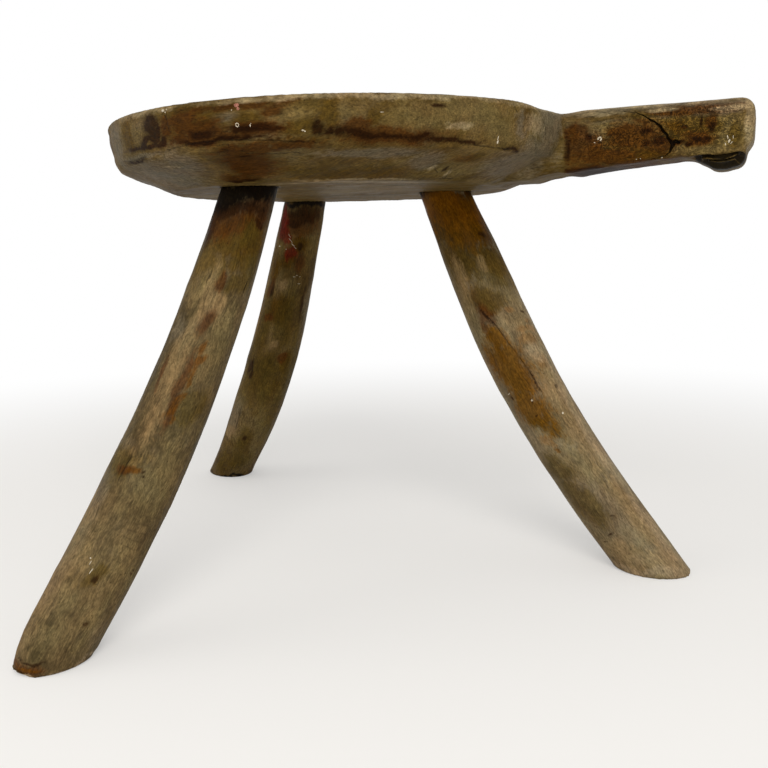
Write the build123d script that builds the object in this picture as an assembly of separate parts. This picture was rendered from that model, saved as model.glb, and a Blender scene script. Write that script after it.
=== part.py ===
"""Three-legged hand-carved stool: a thick round seat cut from one slab with its carrying handle,
and three naturally curved branch legs.

Every leg ends in a tapered tenon that goes right through the seat in a reamed mortise. Its end is
sawn, and a hardwood wedge driven into the saw kerf from above spreads it against the end grain.
The seat's grain runs along the handle, so all three kerfs lie across it.

Frame: +Z up, the floor at z = 0, +X along the handle, and the origin on the floor under the
centre of the stool's bounding box. Sizes are in millimetres and angles in degrees.
"""

from build123d import *

import os
from dataclasses import dataclass
from itertools import pairwise
from math import cos, radians, sin, tan

# Seat slab
seat_diameter = 340.0
seat_height = 321.0  # floor to the top of the rim
seat_thickness = 44.6  # at the middle of the underside
rim_upright = 17.0  # upright part of the rim, below the top face
rim_arris = 4.0  # worn top edge, cut as two flats of a quarter round
rim_turn = 6.0  # flat where the upright part turns under
lean_height = 11.5  # band below it that leans inwards, down to the ridge
lean_inset = 6.5
underside_radius = 124.0  # flat the legs are let into
underside_shift = 5.0  # the flat was hewn off centre, away from this azimuth
underside_shift_azimuth = 46.0

# Hollow worn into the sitting face
hollow_depth = 3.0
hollow_floor_radius = 36.0  # level part in the middle
hollow_radius = 152.0

# Handle, of one piece with the seat
handle_reach = 281.0  # seat centre to the end of the handle
handle_width = 50.0
handle_root_depth = 43.0  # top to underside where it runs into the slab
handle_root_inset = 18.0  # from the rim inwards
handle_grip_depth = 39.8  # top to underside at the start of the grip
handle_grip_outset = 4.0  # from the rim outwards
handle_throat_depth = 32.3  # top to underside behind the lip
lip_depth = 41.0  # top to the bottom of the lip under the end
lip_length = 34.0
lip_nose = 24.0  # height of the upright end face below the top
handle_nose_radius = 8.0
lip_radius = 9.0
throat_radius = 14.0
handle_root_radius = 30.0
handle_edge_radius = 6.5

# Tenons, mortises and wedges
tenon_end_diameter = 30.0  # at the top of the seat
tenon_overlength = 12.0  # driven through, then trimmed flush
mortise_clearance = 0.15
wedge_depth = 29.0
wedge_head_thickness = 4.6
wedge_tip_thickness = 1.0
wedge_clearance = 0.1
kerf_width = 1.6
kerf_depth = 35.0

# Legs
foot_arris = 1.5  # worn edge of the sole
branch_bands = 10  # bands that a leg's surface is hewn in, from neck to ankle


@dataclass
class Leg:
    """One branch: where it enters the seat and meets the floor, its bends, and its girth."""

    name: str
    entry_inset: float  # from the rim inwards to the leg's centre at the underside
    entry_azimuth: float
    run: float  # entry to foot, in plan
    run_azimuth: float
    entry_splay: float  # lean from the upright where it leaves the seat
    foot_splay: float
    knee_height: float  # a point that the curve passes, over the floor
    knee_reach: float  # and its distance from the entry, in plan
    neck_diameter: float
    thigh_diameter: float
    knee_diameter: float
    shin_diameter: float
    foot_diameter: float


legs = [
    Leg(
        name="front",
        entry_inset=95.5,
        entry_azimuth=33.3,
        run=164.3,
        run_azimuth=-4.2,
        entry_splay=24.0,
        foot_splay=39.5,
        knee_height=174.0,
        knee_reach=46.5,
        neck_diameter=38.0,
        thigh_diameter=43.2,
        knee_diameter=46.5,
        shin_diameter=44.5,
        foot_diameter=43.0,
    ),
    Leg(
        name="left",
        entry_inset=40.0,
        entry_azimuth=133.4,
        run=147.4,
        run_azimuth=156.2,
        entry_splay=22.5,
        foot_splay=37.0,
        knee_height=175.0,
        knee_reach=40.0,
        neck_diameter=37.5,
        thigh_diameter=41.0,
        knee_diameter=46.0,
        shin_diameter=47.0,
        foot_diameter=42.0,
    ),
    Leg(
        name="right",
        entry_inset=68.5,
        entry_azimuth=-103.7,
        run=156.5,
        run_azimuth=-111.8,
        entry_splay=22.0,
        foot_splay=36.0,
        knee_height=168.0,
        knee_reach=49.0,
        neck_diameter=36.5,
        thigh_diameter=40.5,
        knee_diameter=43.0,
        shin_diameter=44.5,
        foot_diameter=40.5,
    ),
]
# Where along the leg each girth is taken, as a share of the way from neck to ankle
thigh_station, knee_station, shin_station = 0.2, 0.45, 0.72
ankle_run = 24.0  # straight end of the leg, above the middle of its sole
toe_run = 30.0  # stock beyond the floor line, sawn off level

standing = (Align.CENTER, Align.CENTER, Align.MIN)
seat_radius = seat_diameter / 2
underside = seat_height - seat_thickness
ridge_height = seat_height - rim_upright - lean_height


def polar(reach, azimuth, height=0.0):
    """A point at that distance and direction from the seat's axis."""
    return Vector(reach * cos(radians(azimuth)), reach * sin(radians(azimuth)), height)


def nearest(vertices, x, y):
    """The vertex of a flat sketch that lies nearest to a corner of its outline."""
    return min(vertices, key=lambda v: (v.X - x) ** 2 + (v.Y - y) ** 2)


def rounded(sketch, corners):
    """The sketch with each listed corner, (x, y, radius), rounded off."""
    for x, y, radius in corners:
        sketch = fillet(nearest(sketch.vertices(), x, y), radius)
    return sketch


def rim():
    """The upper part of the slab: upright rim, worn top edge and the band leaning in."""
    top, turn = seat_height, seat_height - rim_upright
    arris_middle = rim_arris * (1 - cos(radians(45)))
    outline = Polyline(
        (0, top),
        (seat_radius - rim_arris, top),
        (seat_radius - arris_middle, top - arris_middle),
        (seat_radius, top - rim_arris),
        (seat_radius, turn),
        (seat_radius - lean_inset, ridge_height),
        (0, ridge_height),
        close=True,
    )
    section = make_face(outline)
    section = chamfer(nearest(section.vertices(), seat_radius, turn), rim_turn)
    return revolve(Plane.XZ * section, Axis.Z)


def belly():
    """The hewn underside: it slopes in from the ridge to the flat, which is off centre."""
    ridge = Pos(0, 0, ridge_height) * Circle(seat_radius - lean_inset)
    middle = polar(-underside_shift, underside_shift_azimuth, underside)
    return loft([ridge, Pos(middle) * Circle(underside_radius)], ruled=True)


def handle():
    """The grip: a bar with rounded edges, thinner towards its end, with a lip turned down."""
    root = seat_radius / 2
    top = seat_height
    lip_start = handle_reach - lip_length
    outline = Polyline(
        (root, top),
        (handle_reach, top),
        (handle_reach, top - lip_nose),
        (handle_reach - lip_length / 3, top - lip_depth),
        (handle_reach - lip_length * 2 / 3, top - lip_depth),
        (lip_start, top - handle_throat_depth),
        (seat_radius + handle_grip_outset, top - handle_grip_depth),
        (seat_radius - handle_root_inset, top - handle_root_depth),
        (root, top - handle_root_depth),
        close=True,
    )
    corners = [
        (handle_reach, top, handle_nose_radius),
        (handle_reach, top - lip_nose, lip_radius),
        (handle_reach - lip_length / 3, top - lip_depth, lip_radius),
        (handle_reach - lip_length * 2 / 3, top - lip_depth, lip_radius),
        (lip_start, top - handle_throat_depth, throat_radius),
        (seat_radius + handle_grip_outset, top - handle_grip_depth, handle_root_radius),
        (seat_radius - handle_root_inset, top - handle_root_depth, handle_root_radius),
    ]
    side = Plane.XZ * rounded(make_face(outline), corners)
    bar = extrude(side, handle_width / 2, both=True)
    long_edges = [e for f in bar.faces().filter_by(Axis.Y) for e in f.edges()]
    free_edges = [e for e in long_edges if e.center().X > root + 1]
    return fillet(free_edges, handle_edge_radius)


def hollow():
    """What is cut from the slab to dish its sitting face: level in the middle, then rising."""
    dish = Cone(hollow_floor_radius, hollow_radius, hollow_depth, align=standing)
    return Pos(0, 0, seat_height - hollow_depth) * dish


def over_seat():
    """All that stands over the sitting face and is sawn off flush with it."""
    return Pos(0, 0, seat_height) * Cylinder(seat_diameter, seat_thickness, align=standing) + hollow()


def bearings(leg):
    """The leg's entry, foot, and directions where it leaves the seat and meets the floor."""
    entry = polar(seat_radius - leg.entry_inset, leg.entry_azimuth, underside)
    outwards = polar(1, leg.run_azimuth)
    foot = Vector(entry.X, entry.Y, 0) + outwards * leg.run
    down_at_seat = outwards * sin(radians(leg.entry_splay)) - Vector(0, 0, cos(radians(leg.entry_splay)))
    down_at_foot = outwards * sin(radians(leg.foot_splay)) - Vector(0, 0, cos(radians(leg.foot_splay)))
    return entry, foot, outwards, down_at_seat, down_at_foot


def neck_run(leg):
    """How far below the entry the tenon's cone goes on, so that it clears the tilted mouth."""
    return leg.neck_diameter * tan(radians(leg.entry_splay)) / 2 + 4


def tenon_plane(leg):
    """Plane at the foot of the tenon: Z up along it, X as near as can be along the grain."""
    entry, _, _, down, _ = bearings(leg)
    up = down * -1
    grain = Vector(1, 0, 0)
    return Plane(entry + down * neck_run(leg), x_dir=grain - up * grain.dot(up), z_dir=up)


def tenon_length(leg):
    """From the foot of the tenon's cone to its end over the seat, before it is trimmed."""
    return neck_run(leg) + seat_thickness / cos(radians(leg.entry_splay)) + tenon_overlength


def tenon_cone(leg, clearance=0.0):
    """The tapered tenon, or with a clearance the reamed hole that it is driven into."""
    length = tenon_length(leg)
    through = length - tenon_overlength
    slope = (leg.neck_diameter - tenon_end_diameter) / 2 / through
    below = 0.0 if clearance == 0 else neck_run(leg)
    base = leg.neck_diameter / 2 + slope * below + clearance
    tip = leg.neck_diameter / 2 - slope * length + clearance
    return tenon_plane(leg) * Pos(0, 0, -below) * Cone(base, tip, length + below, align=standing)


def wedge_blade(leg, clearance=0.0):
    """A wedge as split out, wider than the tenon, thickest over the seat's top face."""
    head_height = tenon_length(leg) - tenon_overlength
    slope = (wedge_head_thickness - wedge_tip_thickness) / wedge_depth
    crown = wedge_head_thickness + slope * tenon_overlength
    tip = wedge_tip_thickness
    outline = Polyline(
        (-tip / 2 - clearance, head_height - wedge_depth - clearance),
        (tip / 2 + clearance, head_height - wedge_depth - clearance),
        (crown / 2 + clearance, head_height + tenon_overlength),
        (-crown / 2 - clearance, head_height + tenon_overlength),
        close=True,
    )
    blade = extrude(Plane.XZ * make_face(outline), leg.neck_diameter, both=True)
    return tenon_plane(leg) * blade


def kerf(leg):
    """The saw cut down the tenon, spread at its mouth by the wedge."""
    head_height = tenon_length(leg) - tenon_overlength
    height = kerf_depth + tenon_overlength
    middle = head_height + tenon_overlength - height / 2
    cut = tenon_plane(leg) * Pos(0, 0, middle) * Box(kerf_width, leg.neck_diameter * 2, height)
    return cut + wedge_blade(leg, wedge_clearance)


def girth(leg, share):
    """The leg's diameter at a share of its way from neck to ankle."""
    stations = [
        (0.0, leg.neck_diameter),
        (thigh_station, leg.thigh_diameter),
        (knee_station, leg.knee_diameter),
        (shin_station, leg.shin_diameter),
        (1.0, leg.foot_diameter),
    ]
    for (start, above), (end, below) in pairwise(stations):
        if share <= end:
            return above + (below - above) * (share - start) / (end - start)
    return leg.foot_diameter


def branch(leg):
    """The curved leg from the foot of its tenon to the floor, where it is sawn level."""
    entry, foot, outwards, down_at_seat, down_at_foot = bearings(leg)
    neck = entry + down_at_seat * neck_run(leg)
    knee = Vector(entry.X, entry.Y, leg.knee_height) + outwards * leg.knee_reach
    ankle = foot - down_at_foot * ankle_run
    curve = Spline(neck, knee, ankle, tangents=[down_at_seat, down_at_foot])
    side = down_at_seat.cross(outwards)
    sections = []
    for band in range(branch_bands + 1):
        share = band / branch_bands
        plane = Plane(curve @ share, x_dir=side, z_dir=curve % share)
        sections.append(plane * Circle(girth(leg, share) / 2))
    toe = Plane(foot + down_at_foot * toe_run, x_dir=side, z_dir=down_at_foot)
    sections.append(toe * Circle(leg.foot_diameter / 2))
    return split(loft(sections, ruled=True), bisect_by=Plane.XY, keep=Keep.TOP)


def leg_piece(leg):
    """A whole leg: branch and kerfed tenon, trimmed flush with the sitting face."""
    tenon = tenon_cone(leg) - over_seat() - kerf(leg)
    piece = branch(leg) + tenon
    sole = piece.faces().sort_by(Axis.Z)[0]
    return chamfer(sole.edges(), foot_arris)


def wedge_piece(leg):
    """A wedge, trimmed with its tenon: flush on top and round at its ends."""
    return (wedge_blade(leg) & tenon_cone(leg)) - over_seat()


def seat_piece():
    """The slab with its handle, dished on top and bored for the three legs."""
    slab = rim() + belly() + handle() - hollow()
    for leg in legs:
        slab -= tenon_cone(leg, mortise_clearance)
    return slab


def stool():
    """Every piece of the stool by name, about the seat's axis."""
    pieces = {"seat_with_handle": seat_piece()}
    for leg in legs:
        pieces[f"leg_{leg.name}"] = leg_piece(leg)
        pieces[f"wedge_{leg.name}"] = wedge_piece(leg)
    return pieces


def centred(pieces):
    """The pieces moved so that the origin is under the middle of their bounding box."""
    # A trimmed loft's own box is loose, so the box is that of the meshed surfaces
    points = [point for piece in pieces.values() for point in piece.tessellate(0.05, 0.1)[0]]
    across = [point.X for point in points]
    along = [point.Y for point in points]
    middle = Vector(max(across) + min(across), max(along) + min(along), 0) / 2
    return {name: Pos(-middle) * piece for name, piece in pieces.items()}, middle


built, seat_axis_offset = centred(stool())
os.makedirs("parts", exist_ok=True)
for name, piece in built.items():
    export_step(piece, f"parts/{name}.step")
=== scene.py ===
import random
from math import cos, radians, sin

import bmesh
import bpy
import numpy as np
from mathutils import Matrix, Vector, noise


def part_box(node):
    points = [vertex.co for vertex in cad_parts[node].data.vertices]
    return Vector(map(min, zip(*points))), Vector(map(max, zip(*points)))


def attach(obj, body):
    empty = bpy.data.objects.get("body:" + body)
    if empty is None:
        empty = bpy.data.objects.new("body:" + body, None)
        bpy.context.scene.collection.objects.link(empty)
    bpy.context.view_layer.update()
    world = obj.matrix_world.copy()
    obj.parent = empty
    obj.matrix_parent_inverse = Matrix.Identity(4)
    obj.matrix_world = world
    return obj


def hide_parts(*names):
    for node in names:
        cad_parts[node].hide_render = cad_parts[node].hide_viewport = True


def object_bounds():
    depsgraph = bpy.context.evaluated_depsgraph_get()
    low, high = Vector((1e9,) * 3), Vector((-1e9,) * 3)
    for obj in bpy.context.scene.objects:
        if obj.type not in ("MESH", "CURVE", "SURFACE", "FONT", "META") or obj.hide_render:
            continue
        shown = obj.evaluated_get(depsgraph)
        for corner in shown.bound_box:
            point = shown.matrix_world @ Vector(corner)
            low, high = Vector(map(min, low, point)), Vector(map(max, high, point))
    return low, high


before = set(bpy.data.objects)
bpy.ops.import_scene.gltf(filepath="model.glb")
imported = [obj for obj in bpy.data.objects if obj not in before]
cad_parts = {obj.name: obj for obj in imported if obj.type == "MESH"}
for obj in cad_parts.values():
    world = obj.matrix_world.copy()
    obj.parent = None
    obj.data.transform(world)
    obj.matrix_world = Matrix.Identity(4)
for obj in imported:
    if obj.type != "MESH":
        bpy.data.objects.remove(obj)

cad_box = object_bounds()

# ----------------------------------------------------------
# Seat with its handle: one slab of dense brown hardwood, hewn round with an adze, dished, and
# left with its carrying handle standing out along the grain. It was never varnished. Soot, sweat
# and handling have turned it dark and smooth, with the adze's cuts still showing below the rim.

mm = 0.001
seat_voxel = 1.9 * mm
seat_low, seat_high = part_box("seat_with_handle")
seat_radius = (seat_high.y - seat_low.y) / 2
seat_axis = Vector((seat_low.x + seat_radius, (seat_low.y + seat_high.y) / 2, 0))
seat_top = seat_high.z
underside = seat_low.z
edge_reach = round(seat_radius / mm)  # mm from the seat's axis to its edge
seat_arc = radians(1) * edge_reach  # mm of rim in one degree
grip_start = edge_reach - 2  # mm along the handle, where the rim gives way to the grip
ridge_run, ridge_reach = 28.5, 163.5  # mm down the outline and from the axis, at the rim's ridge
flat_run, flat_reach = 71.0, 124.0  # mm, at the edge of the flat underside
flat_depth = 43.6  # mm below the top from which the outline counts as the flat
slope_stretch = 1.08  # mm down the hewn slope for each mm inwards


def placed(name, data):
    """A new object of the scene, with this mesh, lamp or camera."""
    thing = bpy.data.objects.new(name, data)
    bpy.context.scene.collection.objects.link(thing)
    return thing


def skin_of(node, name, voxel):
    """A copy of a CAD node as one even skin of small faces, which can be worked like clay."""
    piece = placed(name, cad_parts[node].data.copy())
    skin = piece.modifiers.new("skin", "REMESH")
    skin.mode = "VOXEL"
    skin.voxel_size = voxel
    skin.use_smooth_shade = True
    worked = piece.evaluated_get(bpy.context.evaluated_depsgraph_get())
    mesh = bpy.data.meshes.new_from_object(worked)
    piece.modifiers.clear()
    piece.data = mesh
    mesh.materials.clear()
    return piece


def read(items, attribute):
    """A vector attribute of a mesh's vertices or normals, one row for each."""
    flat = np.empty(len(items) * 3)
    items.foreach_get(attribute, flat)
    return flat.reshape(-1, 3)


def points_of(piece):
    """The piece's vertices, in metres."""
    return read(piece.data.vertices, "co")


def carve(piece, depth, low, high):
    """Moves each vertex inwards by its depth, in mm, and keeps it within the two corners."""
    points = points_of(piece) - read(piece.data.vertex_normals, "vector") * depth[:, None] * mm
    points = np.clip(points, np.array(low), np.array(high))
    piece.data.vertices.foreach_set("co", points.ravel())
    piece.data.update()


def refine(piece, chosen, cuts):
    """Divides the faces whose vertices are all chosen, so that they can hold finer forms."""
    mesh = bmesh.new()
    mesh.from_mesh(piece.data)
    faces = [f for f in mesh.faces if all(chosen[v.index] for v in f.verts)]
    edges = {e for f in faces for e in f.edges}
    bmesh.ops.subdivide_edges(mesh, edges=list(edges), cuts=cuts, use_grid_fill=True)
    mesh.to_mesh(piece.data)
    mesh.free()
    piece.data.polygons.foreach_set("use_smooth", [True] * len(piece.data.polygons))


def swell(points, size, seed):
    """Smooth noise of about -1 to 1 whose swellings are that many mm apart."""
    return np.array([noise.noise(p) for p in (points / (size * mm) + seed * 7.3).tolist()])


def crests(points, size, seed):
    """Overlapping cuts that many mm wide: 1 on the crests between them, 0 on their floors."""
    near = [noise.voronoi(p)[0] for p in (points / (size * mm) + seed * 5.1).tolist()]
    gap = np.array([second - first for first, second, _, _ in near])
    rise = 1 - np.clip(gap / 0.45, 0, 1)
    return rise * rise


def step(values, start, end):
    """A smooth step from 0 at the start to 1 at the end, which may be the lower of the two."""
    t = np.clip((values - start) / (end - start), 0, 1)
    return t * t * (3 - 2 * t)


def segment_distance(points, start, end):
    """Distance from points in a plane to a straight piece of line."""
    start, end = np.array(start, float), np.array(end, float)
    along = np.clip(((points - start) @ (end - start)) / ((end - start) @ (end - start)), 0, 1)
    return np.linalg.norm(points - start - along[:, None] * (end - start), axis=1)


def line_distance(points, route):
    """Distance from points in a plane to a bent line."""
    return np.min([segment_distance(points, a, b) for a, b in zip(route, route[1:])], axis=0)


def paint(piece, layer, values):
    """Stores a value of 0 to 1 for each vertex, which the piece's material reads by its name."""
    piece.data.attributes.new(layer, "FLOAT", "POINT").data.foreach_set(
        "value", np.asarray(values, np.float32)
    )


def lay_grain(piece, along, across, up):
    """Stores each vertex's place in the wood, in metres, with the fibres running along X."""
    piece.data.attributes.new("grain", "FLOAT_VECTOR", "POINT").data.foreach_set(
        "vector", np.stack([along, across, up], axis=1).astype(np.float32).ravel()
    )


def about_seat(points):
    """Places in mm along the handle and across it from the seat's axis and below its top, with the
    distance from the axis and the azimuth in degrees.
    """
    along, across, _ = ((points - np.array(seat_axis)) / mm).T
    depth = (seat_top - points[:, 2]) / mm
    azimuth = np.degrees(np.arctan2(across, along))
    return along, across, depth, np.hypot(along, across), azimuth


def down_profile(reach, depth):
    """Way in mm down the seat's outline from its top edge: the rim, the hewn slope, the flat."""
    slope = ridge_run + (ridge_reach - reach) * slope_stretch
    flat = flat_run + np.maximum(flat_reach - reach, 0)
    way = np.where(depth > flat_depth, flat, np.where(depth > ridge_run, slope, depth))
    on_top = (depth < 4) & (reach < edge_reach)
    return np.where(on_top, depth + reach - edge_reach, way)


def stray(points, size, reach, seed):
    """Two uneven distances in mm by which a stain's outline strays from a plain shape."""
    pair = []
    for n in (seed, seed + 3):
        pair.append(reach * (swell(points, size, n) + 0.5 * swell(points, size * 0.4, n + 1)))
    return pair


def patches(turn, down, arc, marks):
    """1 inside each mark and 0 well outside it. A mark is its middle's angle in degrees and height
    in mm, its half length and half height in mm, and where it slants, its slant in degrees. The
    arc is the mm that one degree covers.
    """
    cover = np.zeros(len(turn))
    for mark in marks:
        middle_turn, middle_down, half_length, half_height, slant = (*mark, 0)[:5]
        aside = ((turn - middle_turn + 180) % 360 - 180) * arc
        below = down - middle_down
        lean = radians(slant)
        along = (aside * cos(lean) + below * sin(lean)) / half_length
        across = (below * cos(lean) - aside * sin(lean)) / half_height
        cover = np.maximum(cover, step(np.hypot(along, across), 1.75, 0.25))
    return cover


out_of_reach = 40.0  # mm, farther than any line darkens the wood


def seam_distance(across, down, seams):
    """Distance in mm to the nearest of some thin bent lines, their two sides told apart by sign."""
    nearest = np.full(len(across), out_of_reach)
    for route in seams:
        for (a, b), (c, d) in zip(route, route[1:]):
            length = np.hypot(c - a, d - b)
            ahead = ((across - a) * (c - a) + (down - b) * (d - b)) / length
            aside = ((down - b) * (c - a) - (across - a) * (d - b)) / length
            over = np.maximum(np.maximum(-ahead, ahead - length), 0)
            nearest = nearer(nearest, np.hypot(aside, over) * np.where(aside < 0, -1, 1))
    return nearest


def nearer(first, second):
    """The one of two signed distances that is closer to 0."""
    return np.where(np.abs(second) < np.abs(first), second, first)


def paint_seams(piece, seams):
    """Stores the signed distances, and where a line is near enough for them to be used."""
    paint(piece, "seams", seams)
    paint(piece, "seam_near", step(np.abs(seams), 3.6, 2.4))


legs = ("leg_front", "leg_left", "leg_right")


def mouth_distance(points):
    """Distance in mm from each point to the wall of the nearest mortise, negative inside it."""
    inner_radius = 12 * mm  # only the kerf and the wedge lie nearer to a tenon's axis
    nearest = np.full(len(points), np.inf)
    for leg in legs:
        vertices = np.array([v.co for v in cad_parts[leg].data.vertices])
        tenon = vertices[vertices[:, 2] > underside + 2 * mm]
        foot = vertices[np.abs(vertices[:, 2] - underside) < 5 * mm]
        head = tenon[tenon[:, 2] > tenon[:, 2].max() - 2 * mm]
        middle = (foot.min(axis=0) + foot.max(axis=0)) / 2
        direction = (head.min(axis=0) + head.max(axis=0)) / 2 - middle
        direction = direction / np.linalg.norm(direction)
        offset = tenon - middle
        radii = np.linalg.norm(offset - np.outer(offset @ direction, direction), axis=1)
        outside = radii > inner_radius
        taper = np.polyfit((offset @ direction)[outside], radii[outside], 1)
        reach = points - middle
        height = reach @ direction
        away = np.linalg.norm(reach - np.outer(height, direction), axis=1)
        nearest = np.minimum(nearest, (away - np.polyval(taper, height)) / mm)
    return nearest


seat = skin_of("seat_with_handle", "seat_with_handle_skin", seat_voxel)

# The crack that runs back along the grip from the split lip, with a branch towards the end, as
# places along the grip and below its top
crack_route = [(205, 3.6), (212, 4.7), (217, 7.2), (219, 8.6), (221.5, 10.4), (224, 11.6), (227.4, 14.6),
               (228.6, 16.8), (231, 19.4), (232, 22), (234.4, 24.6), (235.6, 26.4), (234, 28.6),
               (233.4, 31), (230.5, 32.6), (225, 33.6), (218, 35.2)]
side_branch = [(234.4, 24.6), (236.6, 23.8), (238.6, 24.9)]


def crack_distance(points):
    """Distance in mm to the crack along the grip, whose line wavers with the fibres."""
    along, _, depth, _, _ = about_seat(points)
    waver = 0.5 * swell(points, 4, 8)
    plane = np.stack([along + waver, depth + waver], axis=1)
    return np.minimum(line_distance(plane, crack_route), line_distance(plane, side_branch))


# The near side of the grip gets finer faces, and the crack in it finer ones still
along, across, _, _, _ = about_seat(points_of(seat))
refine(seat, (along > 186) & (across < -14), cuts=2)
points = points_of(seat)
along, across, _, _, _ = about_seat(points)
refine(seat, (along > 195) & (across < -20) & (crack_distance(points) < 2.2), cuts=1)

points = points_of(seat)
along, across, depth, reach, azimuth = about_seat(points)
way = down_profile(reach, depth)
mouth = mouth_distance(points)
around = np.stack([np.radians(azimuth) * reach * mm, depth * mm, reach * mm], axis=1)

# Adze cuts: broad and diagonal on the sloping underside, short and flat on the rim, and worn
# nearly away on the sitting face and the grip
lean = np.stack([around[:, 0] + 1.3 * around[:, 1], around[:, 1] * 0.7, around[:, 2]], axis=1)
on_belly = step(depth, 22, 27)
on_face = step(depth, 4.5, 2)
on_grip = step(along, grip_start, grip_start + 14)
off_grip = 1 - on_grip
hewn = 0.05 + 0.18 * swell(points, 70, 1) + 0.08 * swell(points, 26, 2)
hewn += 0.42 * on_belly * (1 - crests(lean, 24, 1)) * off_grip
hewn += 0.16 * (1 - on_belly) * (1 - on_face) * (1 - crests(around, 21, 2)) * off_grip
hewn += 0.10 * on_face * (1 - crests(points, 30, 3))
hewn += 0.22 * on_grip * (1 - crests(points * [0.45, 1, 1], 15, 4))
hewn += 0.12 * on_grip * swell(points * [0.5, 1, 1], 5, 9)

# The top edge beside the handle has been rubbed down by the carrying hand
inner_corner = np.hypot(along - 163, (np.abs(across) - 40) * 0.6)
hewn += 0.7 * step(inner_corner, 20, 6) * step(depth, 7, 1)

# The top edge is full, and so is the ridge below the rim where the wood is end grain, but the
# hollow under the grip's root is cut right back
by_handle = step(np.abs(azimuth), 30, 16)
end_grain = step(azimuth, -88, -108) * step(azimuth, 178, 160)
top_edge = np.hypot(reach - 169, depth - 1)
root = np.hypot(along - 158, (depth - 42) * 0.8)
hewn -= (0.9 + 0.5 * end_grain) * step(top_edge, 5, 1) * (1 - by_handle)
hewn += 0.9 * by_handle * off_grip * step(depth, 6, 1) * step(reach, 160, 166)
hewn -= 1.3 * end_grain * step(np.abs(depth - 29), 10, 3)
hewn += 2.2 * step(root, 16, 4) * step(depth, 32, 38)

# The grip's underside is worn in its middle and left full just before the lip
hewn += 0.5 * step(np.abs(along - 198), 30, 14) * step(depth, 32, 37)
hewn -= 1.0 * step(np.abs(along - 247), 9, 3) * step(depth, 31, 34)

# The crack, widest where it turns down at the branch
crack = crack_distance(points)
from_branch = np.hypot(along - 234, depth - 25)
crack_width = 0.16 + 0.42 * step(along, 215, 226) + 0.6 * step(from_branch, 5, 0)
crack_width -= 0.3 * step(depth, 28, 33)
crack_width *= 1 + 0.6 * swell(points, 3, 12)
crack_width = np.maximum(crack_width, 0.12)
crack_depth = step(crack, crack_width * 1.6, crack_width * 0.3) * step(across, -20, -23)
hewn += 1.6 * crack_depth

# The underside of the lip has split out on that side, along the grain, and left splinters in a hollow that
# is darkened with painted shade
split_edge = 33.6 - (along - 242) * 0.055 + 0.6 * swell(points, 9, 5)
split_end = along + 0.35 * (depth - 33)
in_split = step(depth, split_edge - 0.4, split_edge + 1.0) * step(across, -9, -16)
in_split *= step(along, 241, 252) * step(split_end, 276.5, 274)
slats = patches(along, depth, 1, [(257, 36.2, 8, 0.5, 5), (269, 35.6, 6, 0.45, -16),
                                  (261, 38.3, 7, 0.3, 4), (270, 37.6, 5, 0.25, -14)])
hewn += in_split * (3.4 - 2.4 * slats)

# The lip's end is rounded, not chamfered
hewn -= 3.6 * step(np.hypot(along - 277, depth - 38), 9, 2) * (1 - in_split)

hewn *= step(mouth, 0.5, 5)
carve(seat, hewn, seat_low, seat_high)
lay_grain(seat, points[:, 0], points[:, 1], points[:, 2])

# Thin dark lines: the gaps round the tenons, the edges of the adze cuts, and shallow checks
rim_seams = [
    [(-104, 24.5), (-98, 23.2), (-90, 22.6), (-84, 23.2), (-78, 24.6), (-70, 26.2)],
    [(-85, 33), (-80, 34.4), (-74, 34)],
    [(-39, 27.2), (-33, 27.6), (-27, 28.8)],
    [(-78, 68.5), (-70, 69.3), (-58, 69)],
    [(-48, 69.4), (-40, 68.6), (-33, 68)],
    [(-126, 26), (-119, 27.4), (-113, 26.2)],
    [(-91.2, 28.6), (-90.2, 27.5), (-89, 27.8), (-88.6, 28.8), (-89.6, 29.8), (-91.2, 28.6)],
    [(-28.6, 2), (-27.6, 6), (-26.6, 9.5)],
    [(-18.2, 10), (-17.2, 14), (-16.4, 18)],
    [(-20.8, 20.4), (-19.6, 22.6), (-18.6, 25.6)],
    [(-102.9, 6.6), (-102.6, 12)],
    [(-36.6, 56), (-35.4, 67)],
    [(-42.5, 52), (-40, 60)],
    [(150, 12), (163, 13.5), (174, 12.8)],
    [(96, 22), (108, 24.5), (121, 23.5)],
    [(42, 27.5), (56, 26), (68, 28.5)],
]
rim_seams = [[(turn * seat_arc, down) for turn, down in route] for route in rim_seams]
seams = seam_distance(azimuth * seat_arc, way, rim_seams)
seams = np.where(on_grip > 0.5, out_of_reach, seams)
paint_seams(seat, nearer(seams, mouth))
# Painted shade in the crack and in the split's hollow, which the splinters get only a fifth of
broken = step(depth, split_edge, split_edge + 1.2) * step(across, 8, -4)
broken *= step(along, 230, 243) * step(split_end, 279, 277)
paint(seat, "hollow_shade", np.clip(crack_depth + broken * (1 - 0.8 * slats), 0, 1))
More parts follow.
